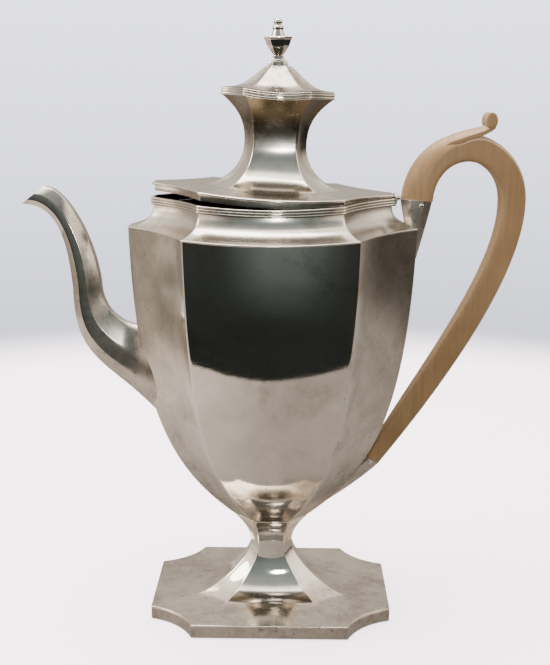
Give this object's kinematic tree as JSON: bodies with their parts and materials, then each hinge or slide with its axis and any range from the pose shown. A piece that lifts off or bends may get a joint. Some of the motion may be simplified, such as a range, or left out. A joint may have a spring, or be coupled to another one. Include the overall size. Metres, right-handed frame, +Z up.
{
  "type": "coffee pot",
  "caption": "Oblong panelled silver coffee pot on a spreading foot, with an octagonal spout, a hinged waisted lid with an urn finial and a wooden loop handle.",
  "frame": {"origin": "On the table plane under the middle of the pot, halfway between the spout tip and the handle.", "axes": "+Z is up, +X points to the handle and -X to the spout, and the wide panels face -Y and +Y."},
  "size_m": [0.2438, 0.1234, 0.2933],
  "materials": {
    "silver": "polished silver with light tarnish and fine scratches",
    "hidden_metal": "dull unpolished silver",
    "wood": "waxed pale boxwood"
  },
  "bodies": {
    "pot": {"body_shell": "silver", "shoulder": "silver", "rim_moulding": "silver", "stem_ring": "silver", "pedestal": "silver", "foot_band": "silver", "spout": "silver", "handle": "wood", "upper_socket": "silver", "lower_socket": "silver", "upper_pin": "silver", "lower_pin": "silver", "rim_hinge": "silver", "hinge_pin": "silver"},
    "lid": {"lid_hinge": "silver", "lid_plate": "silver", "lid_bezel": "silver", "lid_spool": "silver", "lid_collar": "silver", "lid_cap": "silver", "finial_base": "silver", "finial_urn": "silver", "finial_knop": "silver", "finial_stud": "hidden_metal", "finial_nut": "hidden_metal"}
  },
  "joints": [
    {"name": "lid_hinge_turn", "type": "hinge", "parent": "pot", "child": "lid", "pos_m": [0.0596, 0, 0.21036], "axis": [0, 1, 0], "range_deg": [-2.7, 69]}
  ]
}
